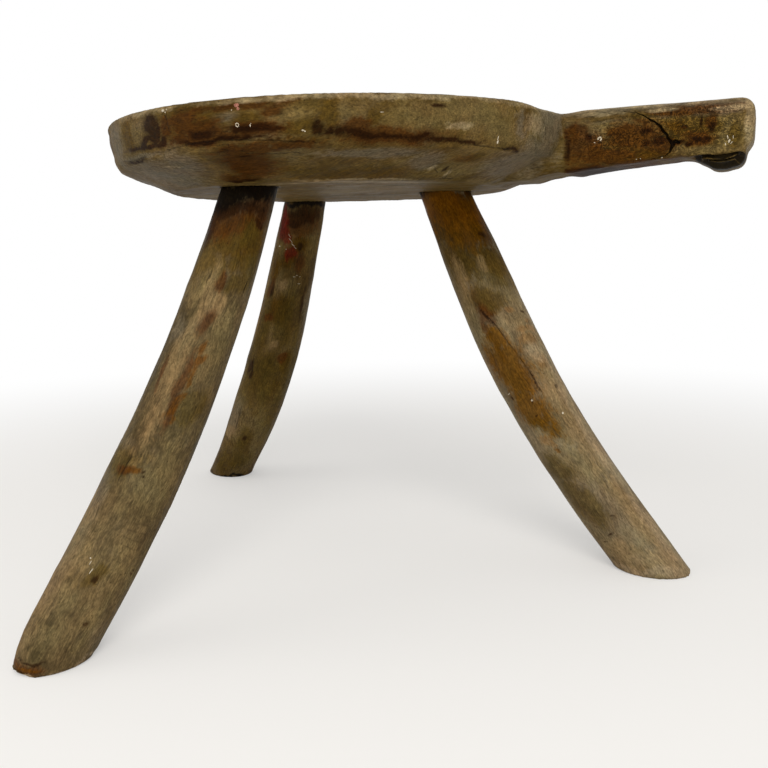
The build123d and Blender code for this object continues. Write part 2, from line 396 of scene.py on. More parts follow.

# Stains, as angle round the seat and way down its outline. Smoke and hands darkened the middle
# of the rim, and the underside has dried to grey and khaki. The grey and khaki at the rim's two
# ends are partly that weathering and partly a painted sheen where the rim curves away, and the
# beige band along the top edge is partly wear and partly a painted highlight on its rounded arris.
seat_marks = {
    # Khaki and ash near -128, -115 and -30 to -15 degrees, at the rim's ends, are partly painted sheen
    "khaki": [(-115, 11, 7, 5), (-43, 10, 34, 8), (-64.5, 8.5, 3.4, 4.6), (-19, 12, 22, 10),
              (-31, 18, 12, 6), (-75, 13, 9, 5), (-58, 84, 110, 9), (-20, 74, 26, 6), (24, 14, 60, 12),
              (118, 17, 46, 8), (-160, 15, 30, 10), (-33, 53, 26, 11), (-60, 36, 26, 4),
              (-72, 36.4, 12, 1.6), (-75, 41, 14, 0.7), (-91, 55, 9, 0.6, -38), (-113, 52, 14, 0.6, 18)],
    "ash": [(-128, 14, 13, 14), (-88, 10.5, 8, 3), (-114, 25.2, 30, 1.2), (-117, 46, 34, 18),
            (-104, 37, 14, 11), (-15, 12, 15, 12), (-25, 13, 6, 8), (-17, 28, 20, 8), (-19, 45, 26, 16),
            (-58, 37, 32, 5), (-45, 46, 10, 10), (60, 44, 60, 12), (150, 12, 30, 9), (-150, 50, 40, 14),
            (110, 60, 44, 10)],
    "olive": [(-97, 9, 25, 9.5), (-119, 13, 7, 9), (-101, 18, 10, 4), (-83, 13, 9, 5), (-67.4, 11, 6, 9),
              (-59, 12, 4, 7), (-73, 19, 12, 4), (-72, 59, 26, 7), (-54, 61, 18, 6), (-33.5, 40, 6, 6),
              (-24, 9, 3, 7), (75, 15, 34, 9), (175, 20, 30, 7), (-140, 10, 18, 9), (40, 60, 40, 9)],
    "ochre": [(-95, 6, 7, 2), (-76, 25.5, 24, 2), (-36.5, 42, 7, 5), (-90, 49, 7, 9), (-97, 57, 6, 5),
              (130, 12, 20, 6), (-176, 40, 20, 8)],
    "ruddy": [(-85, 4.2, 36, 2), (-94, 16, 18, 5.6), (-98.5, 10, 10, 4.6), (-92, 21.6, 38, 3),
              (-87, 44, 19, 17), (-84, 29.5, 26, 3.2), (-75, 28, 18, 2.4), (-94, 61, 15, 5),
              (-82, 18, 17, 4.2), (-78, 8, 6, 3), (-62, 19, 9, 5), (-56, 23, 32, 4.4), (-103, 12, 5, 6),
              (95, 10, 20, 5), (-165, 25, 26, 5)],
    "umber": [(-108.4, 9, 8, 6, 14), (-107.4, 14.5, 7, 6.8), (-111.4, 17.6, 7, 2.4, -20),
              (-104.6, 18.4, 3, 2.4), (-105.6, 12, 1.8, 5), (-112, 21.2, 28, 1.2), (-119, 27.4, 16, 0.7),
              (-94, 18, 9, 2.3), (-82.4, 17.8, 16, 2.1), (-88, 22.8, 36, 1.1), (-69.8, 19.4, 3.2, 4.6),
              (-66.4, 21.2, 9, 2.6), (-62, 22.4, 8, 2), (-57, 23.6, 24, 1), (-50, 22, 8, 1),
              (-46, 24.6, 10, 1.3), (-40, 25.4, 14, 1.1), (-46.3, 5.8, 4.4, 0.7), (-27, 27.8, 8, 1.2),
              (-25, 29.6, 3, 1.2), (-93, 64, 15, 2.2), (-38.2, 56, 1.4, 4), (-86, 36, 7, 0.8),
              (54, 16, 9, 2.2), (84, 23, 24, 1.7), (132, 15, 14, 2), (160, 23, 30, 1.6),
              (-172, 12, 10, 2.2), (-147, 22, 18, 1.6), (8, 25, 20, 1.6)],
    # The beige bands 0.8 to 1 mm below the top are partly wear and partly a painted highlight on the top
    # edge
    "beige": [(-60, 0.8, 92, 2), (-112, 0.8, 30, 1.8), (-20, 0.8, 26, 2), (-66, 80, 60, 3),
              (-48, 86, 50, 3), (60, 1, 110, 1.6), (165, 1, 90, 1.6), (-41, 17, 8, 1.6),
              (-42.4, 54, 1.5, 4, 20), (-36.5, 63, 1.2, 4), (-21, 12, 8, 5), (-108, 37, 12, 0.4, 14),
              (-85, 2.2, 12, 0.7), (-62, 70, 50, 1.2)],
}

# Stains on the grip, as places along it and below its top: ochre at its root, black and pitted
# about the crack, khaki at its end, and a paler top edge, partly worn where the hand closes on it
# and partly a painted highlight on its rounded arris
grip_marks = {
    "khaki": [(201, 9.6, 11, 3), (180, 8.5, 12, 3), (268, 19, 7, 12), (258, 30.4, 20, 2.2),
              (228.6, 28.6, 3, 2.4), (238.6, 28, 3, 3), (246, 13, 5, 3), (240, 11, 6, 2)],
    # The ash band just below the top edge is partly a painted highlight too
    "ash": [(222, 3.4, 62, 3), (195, 6, 16, 3), (250, 7.6, 22, 2.6)],
    "olive": [(204, 24, 14, 10), (238, 19, 8, 7), (216, 30, 14, 4), (250, 15, 14, 7), (240, 9, 8, 2.4),
              (270, 22, 4, 8), (205, 6, 34, 2.6)],
    "ochre": [(187, 29.5, 4, 6), (177, 32, 7, 4), (236.6, 15, 5, 4), (222, 31, 9, 2.6), (174, 17, 2.4, 6)],
    "ruddy": [(180, 23, 15, 9), (212, 19, 18, 9), (176, 14, 8, 4), (196, 31, 16, 5), (226, 25, 10, 5),
              (233.4, 6, 1.2, 2.4), (248, 6, 26, 2.8), (228, 5.4, 6, 1.2), (249, 23, 8, 4), (256, 13, 3, 4),
              (184, 38.6, 20, 3.4), (214, 36.6, 20, 3), (238, 35.4, 12, 2)],
    "umber": [(170.4, 25, 1.4, 8), (183.4, 17.6, 2, 3), (226, 23, 4, 2.4), (219, 24, 2, 1.6),
              (249, 23.6, 3, 1.6), (244, 26.6, 2.4, 1.2), (253.4, 24, 2.2, 1.8), (251, 12, 0.8, 4),
              (256.4, 17, 1.4, 2.4), (242, 16, 2, 1.4), (238, 24.2, 3.4, 1.4), (233.4, 5.6, 0.6, 2),
              (219, 16.6, 4, 1.6), (205, 38.6, 34, 1.6)],
    # The band along the top edge is partly wear and partly a painted highlight
    "beige": [(222, 0.3, 60, 1.2), (278.4, 14, 2.4, 15), (268, 6.2, 12, 1.4), (228, 4.6, 8, 1.2),
              (192, 4.2, 14, 1.2)],
    "pitted": [(236, 18, 40, 14), (262, 18, 14, 14), (206, 21, 34, 12), (254, 7, 24, 4)],
}
beside, below = stray(points, 18, 2.4, 20)
on_rim = 1 - step(along, grip_start - 0.8, grip_start + 0.2)
for layer in sorted(seat_marks.keys() | grip_marks.keys()):
    rim_cover = patches(azimuth + beside / seat_arc, way + below, seat_arc, seat_marks.get(layer, ()))
    grip_cover = patches(along + beside * 0.6, depth + below * 0.6, 1, grip_marks.get(layer, ()))
    paint(seat, layer, on_rim * rim_cover + (1 - on_rim) * grip_cover)
paint(seat, "polish", np.maximum(step(way, 0.5, -3) * off_grip, on_grip * step(depth, 6, 0)))


def colour(code):
    """An sRGB hex colour as linear RGBA."""
    parts = [int(code[i : i + 2], 16) / 255 for i in (1, 3, 5)]
    return [p / 12.92 if p <= 0.04045 else ((p + 0.055) / 1.055) ** 2.4 for p in parts] + [1.0]


def add(tree, kind, inputs=None, stops=(), **settings):
    """Adds a node: its settings, then its inputs as values or nodes, and a ramp's colours."""
    node = tree.nodes.new("ShaderNode" + kind)
    for name, value in settings.items():
        setattr(node, name, value)
    for key, value in (inputs or {}).items():
        if isinstance(key, int):
            socket = node.inputs[key]
        else:
            socket = next(s for s in node.inputs if s.name == key and s.enabled)
        if isinstance(value, bpy.types.Node):
            value = next(s for s in value.outputs if s.enabled)
        if isinstance(value, bpy.types.NodeSocket):
            tree.links.new(value, socket)
        else:
            socket.default_value = value
    for i, (place, tone) in enumerate(stops):
        if i >= len(node.color_ramp.elements):
            node.color_ramp.elements.new(place)
        node.color_ramp.elements[i].position = place
        node.color_ramp.elements[i].color = colour(tone)
    return node


# What each stain turns the wood to, and how much of the wood it hides
seat_stains = {
    "khaki": ("#5D4E2E", 0.78),
    "ash": ("#5D5342", 0.78),
    "olive": ("#43310A", 0.80),
    "ochre": ("#472E06", 0.70),
    "ruddy": ("#3A2005", 0.88),
    "umber": ("#1D0C01", 0.92),
    "beige": ("#857558", 0.66),
}


def old_wood(name, tones, pith, ring_width, stains):
    """Hand-worked wood, never varnished and rubbed by long use: mottled from the first of its
    tones to the second with a bloom of the third, then growth rings, fibres, checks and specks.
    """
    material = bpy.data.materials.new(name)
    material.use_nodes = True
    tree = material.node_tree
    place = add(tree, "TexCoord").outputs["Object"]
    grain = add(tree, "Attribute", attribute_name="grain").outputs["Vector"]

    # Fibres drift a little from straight
    drift = add(tree, "TexNoise", {"Vector": grain, "Scale": 1 / (28 * mm), "Detail": 2.0})
    sway = add(tree, "VectorMath", {0: drift.outputs["Color"], 1: (0.5, 0.5, 0.5)}, operation="SUBTRACT")
    sway = add(tree, "VectorMath", {0: sway, 1: (0, 7 * mm, 7 * mm)}, operation="MULTIPLY")
    fibres = add(tree, "VectorMath", {0: grain, 1: sway}, operation="ADD")
    drawn_out = add(tree, "VectorMath", {0: fibres, 1: (0.45, 1, 1)}, operation="MULTIPLY")
    moved = add(tree, "VectorMath", {0: place, 1: (0.31, 0.17, 0.23)}, operation="ADD")
    slanted = add(tree, "VectorRotate", {"Vector": place, "Axis": (0.3, 0.5, 1), "Angle": radians(24)})

    # Patterns, each with the place it follows, the mm that its features measure along X, Y and Z,
    # its detail, its roughness and its distortion
    patterns = {}
    for pattern, follows, size, detail, rough, bent in (
        ("mottle", place, (52, 52, 52), 4, 0.55, 0),
        ("bloom", moved, (33, 33, 33), 6, 0.62, 0),
        ("drifts", drawn_out, (15, 15, 15), 4, 0.6, 0),
        ("blotches", drawn_out, (8, 8, 8), 5, 0.62, 0.5),
        ("flecks", drawn_out, (2.4, 2.4, 2.4), 3, 0.6, 0),
        ("bundles", fibres, (30, 2.2, 2.2), 3, 0.55, 0),
        ("threads", fibres, (10, 0.7, 0.7), 2, 0.55, 0),
        ("hairs", fibres, (36, 0.9, 0.9), 2, 0.55, 0),
        ("grit", fibres, (2.2, 0.9, 0.9), 2, 0.55, 0),
        ("smears", place, (7, 7, 50), 3, 0.6, 0),
        ("curls", place, (3.4, 3.4, 3.4), 2, 0.5, 1.4),
        ("scratches", slanted, (40, 1.1, 30), 1, 0.5, 0),
    ):
        scaled = add(tree, "VectorMath", {0: follows, 1: [1 / (s * mm) for s in size]}, operation="MULTIPLY")
        patterns[pattern] = add(tree, "TexNoise", {
            "Vector": scaled, "Scale": 1.0, "Detail": detail, "Roughness": rough, "Distortion": bent})
    blotches = patterns["blotches"]

    # What the mesh stores: the stains, where there are lines, pits and polish, and painted shade in cracks
    # and hollows
    stored = {}
    for layer in (*stains, "seams", "seam_near", "hollow_shade", "pitted", "polish"):
        stored[layer] = add(tree, "Attribute", attribute_name=layer).outputs["Fac"]

    # Broad mottling of the two tones, with grey bloom where the surface has dried
    broad = add(tree, "MapRange", {"Value": patterns["mottle"], "From Min": 0.38, "From Max": 0.62})
    first, second, bloom_tone = (colour(tone) for tone in tones)
    surface = add(tree, "Mix", {"Factor": broad, "A": first, "B": second}, data_type="RGBA")
    bloom = add(tree, "MapRange", {
        "Value": patterns["bloom"], "From Min": 0.5, "From Max": 0.68, "To Max": 0.6})
    surface = add(tree, "Mix", {"Factor": bloom, "A": surface, "B": bloom_tone}, data_type="RGBA")

    # Weathering, as factors that drift between a pinkish tan and a greenish grey along the fibres
    drifts = add(tree, "MapRange", {"Value": patterns["drifts"], "From Min": 0.36, "From Max": 0.64})
    weather = add(tree, "Mix", {"Factor": drifts, "A": (1.04, 0.98, 0.95, 1), "B": (0.97, 1.01, 1.0, 1)},
                  data_type="RGBA")

    # Each stain has its own layer of the mesh, and the blotches and fibres fray its edge
    fray = add(tree, "Math", {0: blotches, 1: 1.1, 2: -1.1}, operation="MULTIPLY_ADD")
    fray = add(tree, "Math", {0: patterns["flecks"], 1: 1.2, 2: fray}, operation="MULTIPLY_ADD")
    for layer, (tone, strength) in stains.items():
        frayed = add(tree, "Math", {0: fray, 1: stored[layer]}, operation="ADD")
        cover = add(tree, "MapRange", {
            "Value": frayed, "From Min": 0.15, "From Max": 0.8, "To Max": strength})
        inside = add(tree, "MapRange", {"Value": stored[layer], "From Min": 0.02, "From Max": 0.12})
        cover = add(tree, "Math", {0: cover, 1: inside}, operation="MULTIPLY")
        surface = add(tree, "Mix", {"Factor": cover, "A": surface, "B": colour(tone)}, data_type="RGBA")

    # Growth rings about the pith, of uneven width
    section = add(tree, "VectorMath", {0: fibres, 1: (0, 1, 1)}, operation="MULTIPLY")
    from_pith = add(tree, "VectorMath", {0: section, 1: (0, *pith)}, operation="DISTANCE").outputs["Value"]
    from_pith = add(tree, "Math", {0: from_pith, 1: 1 / (ring_width * mm)}, operation="MULTIPLY")
    rings = add(tree, "TexNoise", {"W": from_pith, "Scale": 1.0, "Detail": 2.0}, noise_dimensions="1D")

    # Specks of dirt in the pores, and curled pits where the surface has crumbled
    specks = add(tree, "TexVoronoi", {"Vector": place, "Scale": 1 / (4.5 * mm)})
    pits = add(tree, "Math", {0: patterns["curls"], 1: 0.5}, operation="SUBTRACT")
    pits = add(tree, "Math", {0: pits}, operation="ABSOLUTE")
    pits = add(tree, "MapRange", {
        "Value": pits, "From Min": 0.015, "From Max": 0.09, "To Min": 1.9, "To Max": 0.62})
    pits = add(tree, "Mix", {"Factor": stored["pitted"], "A": 1.0, "B": pits}, data_type="FLOAT")

    # Thin dark lines, broken where the wood has been rubbed
    lines = add(tree, "Math", {0: fray, 1: 1.3, 2: stored["seams"]}, operation="MULTIPLY_ADD")
    lines = add(tree, "Math", {0: lines}, operation="ABSOLUTE")
    lines = add(tree, "MapRange", {
        "Value": lines, "From Min": 0.1, "From Max": 0.8, "To Min": 1.0, "To Max": 0.0})
    lines = add(tree, "Math", {0: lines, 1: stored["seam_near"]}, operation="MULTIPLY")
    gaps = add(tree, "MapRange", {
        "Value": patterns["smears"], "From Min": 0.4, "From Max": 0.55, "To Min": 0.25})
    lines = add(tree, "Math", {0: lines, 1: gaps}, operation="MULTIPLY")

    # What darkens or lightens the wood: as a cause goes from low to high, its share in the shade
    # goes from start to end
    shade = pits
    for cause, low, high, start, end in (
        (blotches, 0.38, 0.62, 0.89, 1.10),
        (patterns["flecks"], 0.38, 0.62, 0.86, 1.14),
        (patterns["bundles"], 0.3, 0.7, 0.93, 1.07),
        (patterns["threads"], 0.3, 0.7, 0.84, 1.17),
        (patterns["grit"], 0.3, 0.7, 0.70, 1.30),
        (patterns["smears"], 0.35, 0.65, 0.93, 1.07),
        (patterns["hairs"], 0.60, 0.68, 1.0, 0.66),
        (patterns["hairs"], 0.40, 0.32, 1.0, 1.18),
        (patterns["scratches"], 0.66, 0.72, 1.0, 1.22),
        (rings, 0.35, 0.65, 0.93, 1.06),
        (specks, 0.05, 0.14, 0.5, 1.0),
        (lines, 0.0, 1.0, 1.0, 0.40),
        # painted shade in the cracks, the split and the chatter marks' troughs
        (stored["hollow_shade"], 0.15, 0.6, 1.0, 0.10),
    ):
        factor = add(tree, "MapRange", {
            "Value": cause, "From Min": low, "From Max": high, "To Min": start, "To Max": end})
        shade = add(tree, "Math", {0: shade, 1: factor}, operation="MULTIPLY")
    surface = add(tree, "VectorMath", {0: surface, 1: weather}, operation="MULTIPLY")
    surface = add(tree, "VectorMath", {0: surface, "Scale": shade}, operation="SCALE")

    # Relief in mm: low swellings and raised fibres, and sunken pits and lines
    height = 0.0
    for cause, rise in (
        (blotches, 0.35), (patterns["bundles"], 0.16), (patterns["threads"], 0.06),
        (pits, 0.25), (lines, -0.3),
    ):
        height = add(tree, "Math", {0: cause, 1: rise, 2: height}, operation="MULTIPLY_ADD")
    relief = add(tree, "Bump", {"Height": height, "Distance": mm, "Strength": 0.9})

    # Rubbed wood is a satin, and glossier where it was sat on, gripped or soaked with oil
    dull = add(tree, "MapRange", {
        "Value": blotches, "From Min": 0.3, "From Max": 0.7, "To Min": 0.44, "To Max": 0.64})
    satin = add(tree, "Math", {0: stored["polish"], 1: -0.20, 2: dull}, operation="MULTIPLY_ADD")
    shader = tree.nodes["Principled BSDF"]
    tree.links.new(surface.outputs[0], shader.inputs["Base Color"])
    tree.links.new(satin.outputs[0], shader.inputs["Roughness"])
    tree.links.new(relief.outputs[0], shader.inputs["Normal"])
    shader.inputs["IOR"].default_value = 1.5
    shader.inputs["Specular IOR Level"].default_value = 0.03
    return material


seat_tones = ("#604E2A", "#4B3A18", "#66583F")
seat.data.materials.append(old_wood("rubbed_hardwood", seat_tones, (-0.03, 0.16), 4.5, seat_stains))
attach(seat, "root")
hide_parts("seat_with_handle")

# ----------------------------------------------------------
# Legs: three naturally curved branches, peeled and trimmed with a knife. Each runs up into a
# tapered tenon that is driven right through the seat. The wood is greyed and olive, with long
# fibres, knots, and brown and rust stains where hands, soot and damp have reached it. The
# near-black band round each leg's top, just under the seat, is partly soot and partly painted shade.

leg_voxel = 1.5 * mm
leg_arc = 0.36  # mm of a leg's surface in one degree
ripple_pitch = 4.7  # mm from one chatter mark of the knife to the next


def centre_line(points):
    """Polynomials in the height that give the middle of a leg, in metres."""
    thickness = 6 * mm
    levels = np.arange(points[:, 2].min() + 4 * mm, points[:, 2].max() - 6 * mm, thickness)
    slices = [points[np.abs(points[:, 2] - level) < thickness / 2] for level in levels]
    middles = np.array([(s.max(axis=0) + s.min(axis=0)) / 2 for s in slices])
    return [np.polyfit(levels, middles[:, axis], 5) for axis in (0, 1)]


def outer_side(middle):
    """The level direction in which a leg's foot stands out from its head."""
    foot, head = (np.array([np.polyval(line, h) for line in middle]) for h in (0, underside))
    return (foot - head) / np.linalg.norm(foot - head)


def about_leg(points, middle):
    """Place in a leg's own wood: run down the branch, and two distances across it, in metres,
    with the angle around it in degrees from its outer side.
    """
    height = points[:, 2]
    centre = np.stack([np.polyval(line, height) for line in middle], axis=1)
    slope = np.stack([np.polyval(np.polyder(line), height) for line in middle], axis=1)
    outwards = outer_side(middle)
    sideways = np.array([-outwards[1], outwards[0]])
    offset = points[:, :2] - centre
    lean = np.arctan(np.linalg.norm(slope, axis=1))
    out, side = offset @ outwards, offset @ sideways
    levels = np.linspace(0, seat_top, 200)
    tilt = np.sqrt(1 + sum(np.polyval(np.polyder(line), levels) ** 2 for line in middle))
    run = np.interp(height, levels, np.concatenate([[0], np.cumsum(tilt[1:] * np.diff(levels))]))
    return run - out * np.sin(lean), out * np.cos(lean), side, np.degrees(np.arctan2(side, out))


# Stains and checks of each leg, as angle round it from its outer side and height above the floor
# The near-black marks at the legs' tops are partly soot and partly painted shade cast by the seat
leg_marks = {
    "leg_right": {
        "ochre": [(76, 241, 21, 16), (58, 240, 9, 14)],
        "olive": [(62, 244, 14, 12), (44, 246, 10, 10), (88, 226, 11, 6), (48, 222, 2.6, 9),
                  (88, 213, 10, 6), (88, 142, 9, 10), (5, 240, 14, 20), (26, 243, 14, 12), (0, 112, 14, 8),
                  (115, 222, 4, 10), (48, 50, 5, 6, -30), (-120, 190, 12, 40), (170, 110, 10, 30)],
        "khaki": [(85, 180, 14, 18), (80, 100, 14, 20), (60, 40, 18, 22), (20, 222, 10, 14)],
        "ash": [(8, 186, 5, 8), (84, 145, 5, 8), (-60, 120, 10, 34), (-150, 60, 9, 22), (-5, 80, 6, 40)],
        "tan": [(41, 206, 3.4, 17), (32, 142, 5, 25), (34, 175, 4.2, 23), (20, 165, 4, 16), (60, 202, 5, 6),
                (-10, 40, 10, 40)],
        "ruddy": [(90, 263, 14, 10), (20, 254, 18, 12), (11, 162, 1.4, 9), (53, 191, 3.4, 7),
                  (22, 108, 5, 2), (10, 4, 14, 3), (-100, 240, 12, 14), (50, 150, 3, 22), (55, 215, 3, 5)],
        "umber": [(-8, 250, 5, 12), (30, 262, 26, 5), (52, 107, 1, 1.2), (56, 104, 0.8, 0.8),
                  (50, 48, 2.4, 1.6, -40), (74, 24, 2.4, 1.6), (120, 46, 0.8, 1.2), (20, 8.4, 9, 0.7),
                  (-140, 130, 1.2, 12), (100, 254, 5, 3)],
        "rust": [(63, 176, 1.4, 5), (67, 168, 2, 4, -35), (63, 156, 1.4, 7), (54, 142, 2.4, 8, -40),
                 (38, 108, 4, 1.8), (58, 134, 1.4, 3), (-70, 90, 2, 8), (20, 4.6, 9, 0.7)],
        "soot_and_shade": [(10, 273, 26, 9), (60, 275, 30, 6), (110, 276, 20, 4), (-135, 273, 45, 9)],
        "beige": [(40, 0.6, 60, 0.6), (-140, 1, 60, 1)],
    },
    "leg_left": {
        "ochre": [(150, 240, 8, 6), (175, 128, 3, 9), (170, 95, 4, 16), (90, 215, 5, 12),
                  (130, 180, 10, 12), (125, 225, 8, 5)],
        "olive": [(130, 110, 14, 26), (140, 48, 6, 9), (120, 22, 16, 10), (150, 170, 8, 30),
                  (100, 160, 8, 20), (-160, 100, 12, 50), (-40, 150, 16, 50)],
        "khaki": [(138, 200, 10, 8), (132, 153, 7, 10), (112, 88, 12, 12), (120, 60, 18, 14),
                  (180, 60, 8, 40)],
        "ash": [(-150, 180, 6, 30), (85, 70, 8, 16), (200, 110, 4, 60)],
        "tan": [(140, 146, 3, 4), (85, 55, 7, 6), (126, 202, 3, 6), (60, 170, 3, 30), (-130, 60, 4, 20)],
        "ruddy": [(130, 258, 24, 11), (158, 224, 5, 9), (165, 132, 3, 4), (90, 200, 4, 6),
                  (-60, 230, 14, 20), (110, 172, 5, 4)],
        "umber": [(152, 238, 2.6, 2.4), (126, 259, 7, 4), (150, 268, 18, 7), (188, 186, 1, 15),
                  (98, 117, 2, 4), (88, 124, 3, 6), (138, 48, 2, 2.4), (100, 196, 2, 4), (30, 110, 1.4, 18),
                  (160, 262, 6, 5)],
        "red": [(84, 266, 4.5, 10), (90, 254, 6, 9), (98, 247, 7, 6), (112, 243, 5, 5),
                (130, 231, 5, 5, -35)],
        "soot_and_shade": [(150, 276.5, 30, 2.5), (-50, 276, 40, 5), (140, 1.5, 30, 1.2)],
    },
    "leg_front": {
        "ochre": [(-70, 252, 40, 24), (-95, 225, 14, 12), (-85, 195, 10, 9), (-30, 225, 10, 10)],
        "khaki": [(-120, 190, 6, 40), (-55, 110, 5, 16), (-45, 203, 14, 12), (-60, 75, 12, 12),
                  (100, 120, 14, 50)],
        "olive": [(-110, 72, 10, 10), (-66, 222, 26, 15), (-62, 196, 8, 8), (-26, 214, 14, 9),
                  (-88, 104, 8, 6), (140, 200, 12, 40), (-105, 50, 12, 16)],
        "ash": [(-90, 45, 14, 22), (-135, 60, 8, 30), (60, 60, 10, 30), (150, 90, 9, 30),
                (-128, 110, 4, 40)],
        "tan": [(-106, 215, 4, 14), (-27, 42, 5, 26), (-30, 120, 8, 40), (-25, 168, 8, 12),
                (-52, 222, 2, 6), (-75, 12, 24, 10)],
        "ruddy": [(-62, 275, 34, 2), (-22, 248, 7, 12), (-30, 262, 9, 4), (-87, 184, 6, 5, -57),
                  (-100, 176, 3, 8), (60, 230, 12, 20), (-90, 160, 2, 8)],
        "amber": [(-88, 168, 7, 9), (-90, 148, 15, 18), (-84, 142, 12, 15), (-90, 117, 12, 19),
                  (-80, 266, 34, 9), (-60, 250, 20, 14)],
        "umber": [(-10, 269, 5, 7), (-86, 183.4, 6, 0.9, -57), (-96, 28, 3.4, 0.8, 25),
                  (-67, 42.6, 1.4, 0.9), (-125, 20, 1.2, 0.6), (100, 170, 1.2, 14), (-27, 260, 4, 1.2),
                  (-28, 243, 2.6, 1.4), (-20, 133, 0.8, 1), (-15, 187, 1.6, 0.8), (-122, 120, 1, 2),
                  (-55, 139, 0.4, 9), (-88, 112, 0.6, 1.6), (-80, 125, 0.8, 1.6)],
        "tawny": [(-78, 264, 36, 13)],
        "orange": [(-22, 175, 7, 2.6), (-30, 166, 7, 4), (-95, 92, 6, 2.4), (-40, 186, 3, 2),
                   (-12, 180, 3, 2), (-24, 150, 5, 5)],
        "rust": [(-87, 88, 2, 1.6)],
        "soot_and_shade": [(120, 275, 40, 6)],
        "beige": [(-10, 80, 4, 80), (-28, 157, 6, 6), (-70, 4, 24, 3)],
    },
}
leg_seams = {
    "leg_right": [
        [(32, 223), (30, 218)], [(110, 214), (104, 200)], [(-90, 200), (-86, 150), (-92, 110)],
        [(150, 90), (154, 50)], [(22, 120), (20, 104)],
    ],
    "leg_left": [
        [(184, 202), (187, 186), (191, 170)], [(100, 90), (104, 60)], [(-20, 160), (-25, 90)],
        [(92, 136), (102, 118)],
    ],
    "leg_front": [
        [(-99, 192), (-90, 186), (-77, 178), (-70, 168), (-63, 158), (-57, 146), (-54, 130)],
        [(-73, 112), (-69, 98)], [(-105, 26), (-96, 28), (-88, 31)], [(-15, 10), (-13, 2)],
        [(130, 180), (124, 120)], [(40, 120), (44, 70)],
    ],
}
leg_tones = {
    "leg_right": ("#5E5036", "#493D26", "#655843"),
    "leg_left": ("#5E4C28", "#473719", "#66583C"),
    "leg_front": ("#7B6D52", "#65563C", "#887B65"),
}
leg_stains = {
    "ochre": ("#483206", 0.88),
    "khaki": ("#68593A", 0.60),
    "ash": ("#645946", 0.60),
    "olive": ("#463711", 0.70),
    "tan": ("#7A6545", 0.56),
    "ruddy": ("#401F05", 0.70),
    "amber": ("#563805", 0.92),
    "umber": ("#221003", 0.80),
    "tawny": ("#6A4107", 0.80),
    "orange": ("#75532D", 0.50),
    "rust": ("#563305", 0.74),
    "red": ("#520D06", 0.80),
    # near black: soot, and painted shade under the seat
    "soot_and_shade": ("#0B0603", 0.96),
    "beige": ("#8C7B62", 0.50),
}

# Where a leg's outline swells or shrinks away from an even branch, as height and mm outwards at
# the angle given first
leg_swellings = {
    "leg_right": (-22, [(0, -2.6), (4, -0.8), (10, 1.2), (18, 2.6), (28, 3), (50, 2.6), (75, 1.7),
                        (115, 0.8), (140, 0)]),
    "leg_left": (-120, [(0, 0), (60, 0.6), (180, 0.6), (260, 0.8), (276, 0)]),
    "leg_front": (5, [(0, 0), (20, 0.7), (50, 1.2), (80, 0.8), (140, 0), (200, 1), (240, 1.4), (276, 0)]),
}


def leg_piece(name, seed):
    """A branch leg with its knife facets, lumps and worn foot, and the layers of its stains."""
    piece = skin_of(name, name + "_skin", leg_voxel)
    points = points_of(piece)
    height = points[:, 2] / mm
    run, out, side, angle = about_leg(points, centre_line(points))
    wood = np.stack([run * 0.16, out, side], axis=1)
    hewn = 0.05 + 0.25 * swell(wood, 24, seed) + 0.16 * swell(points, 22, seed + 1)
    hewn += 0.36 * (1 - crests(wood, 11, seed + 2))
    facing, profile = leg_swellings[name]
    towards = np.clip(np.cos(np.radians(angle - facing)), 0, 1) ** 1.5
    hewn -= towards * np.interp(height, *zip(*profile))
    worn = 0.0
    if name == "leg_right":
        # The knife chattered across one stretch, and the two ends of the sole have worn away
        ripples = np.sin((run / mm + 2.5 * swell(points, 20, 40)) * 2 * np.pi / ripple_pitch)
        ripples *= patches(angle, height, leg_arc, [(84, 68, 10, 18)])
        hewn += 0.18 * ripples
        # Painted shade in the troughs of the chatter marks
        paint(piece, "hollow_shade", 0.34 * np.clip(ripples, 0, 1))
        worn = 3.0 * step(np.abs(out) / mm, 12, 19) * step(height, 5, 0)
    free = step(underside / mm - height, 1, 12) * step(height, 0.2, 3)
    carve(piece, hewn * free + worn, cad_box[0], cad_box[1])
    lay_grain(piece, run, out, side)
    beside, below = stray(points * [1, 1, 0.5], 14, 2.2, seed + 20)
    for layer, marks in leg_marks[name].items():
        paint(piece, layer, patches(angle + beside / leg_arc, height + 2 * below, leg_arc, marks))
    routes = [[(turn * leg_arc, level) for turn, level in route] for route in leg_seams[name]]
    seams = seam_distance(angle * leg_arc, height, routes)
    paint_seams(piece, nearer(seams, underside / mm - height + 0.3))
    if name == "leg_front":
        paint(piece, "polish", patches(angle, height, leg_arc, leg_marks[name]["amber"]))
    return piece


leg_skins = {}
for seed, name in enumerate(legs):
    leg = leg_skins[name] = leg_piece(name, seed * 10)
    leg.data.materials.append(old_wood(name + "_branch_wood", leg_tones[name], (0.0, 0.0), 2.5, leg_stains))
    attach(leg, "root")
    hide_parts(name)

# ----------------------------------------------------------
# Wedges: slips of split hardwood driven into the sawn ends of the tenons, across the grain of
# the seat, then cut flush and worn with the sitting face.

wedge_voxel = 0.8 * mm
wedge_wood = old_wood("split_hardwood", ("#6A4C28", "#4A3014", "#80623A"), (0.0, 0.05), 2, {})
for name in ("wedge_front", "wedge_left", "wedge_right"):
    wedge = skin_of(name, name + "_skin", wedge_voxel)
    points = points_of(wedge)
    lay_grain(wedge, points[:, 2], points[:, 0], points[:, 1])
    wedge.data.materials.append(wedge_wood)
    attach(wedge, "root")
    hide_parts(name)

# ----------------------------------------------------------
# Flecks of old paint: drops of limewash and one of pink distemper that dried on the wood, thin,
# chalky and chipped at their edges.

bpy.context.view_layer.update()
dice = random.Random(5)
fleck_mesh = bmesh.new()
fleck_corners = 9
fleck_rise, fleck_root = 0.22 * mm, 0.3 * mm  # out of the surface at its middle, and into it


